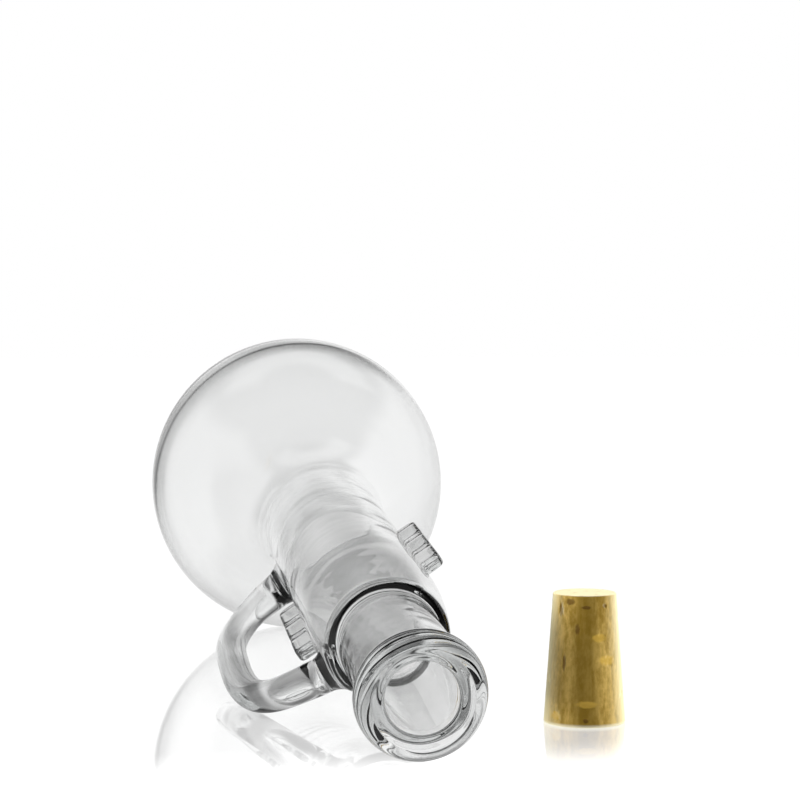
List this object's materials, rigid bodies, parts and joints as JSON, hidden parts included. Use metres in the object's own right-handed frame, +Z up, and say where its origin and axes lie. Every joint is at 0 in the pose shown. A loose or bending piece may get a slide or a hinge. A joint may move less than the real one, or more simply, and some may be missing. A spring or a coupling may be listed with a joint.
{
  "type": "round bottom flask with loop handle",
  "caption": "Long-necked round bottom glass flask with a loop handle, grip ribs on the neck and a rounded lip, lying on its side beside its loose tapered cork.",
  "frame": {"origin": "centre of the bounding box in plan, on the floor the flask lies on", "axes": "+Z up; the flask's axis lies in the YZ plane with the mouth toward -Y and the bulb toward +Y; the handle is on the -X side and the cork on the +X side"},
  "size_m": [0.1156, 0.307, 0.102],
  "materials": {
    "clear_glass": "clear, glossy",
    "natural_cork": "natural cork with pits and dark streaks"
  },
  "bodies": {
    "flask": {"bulb": "clear_glass", "neck": "clear_glass", "neck_collar": "clear_glass", "throat_tube": "clear_glass", "lip_ring": "clear_glass", "loop_handle": "clear_glass", "finger_grip_rib": "clear_glass", "thumb_grip_rib": "clear_glass"},
    "cork": {"cork_stopper": "natural_cork"}
  },
  "joints": [
    {"name": "cork_lift", "type": "slide", "parent": "flask", "child": "cork", "axis": [0, 0, 1], "range_m": [0, 0.08]}
  ]
}
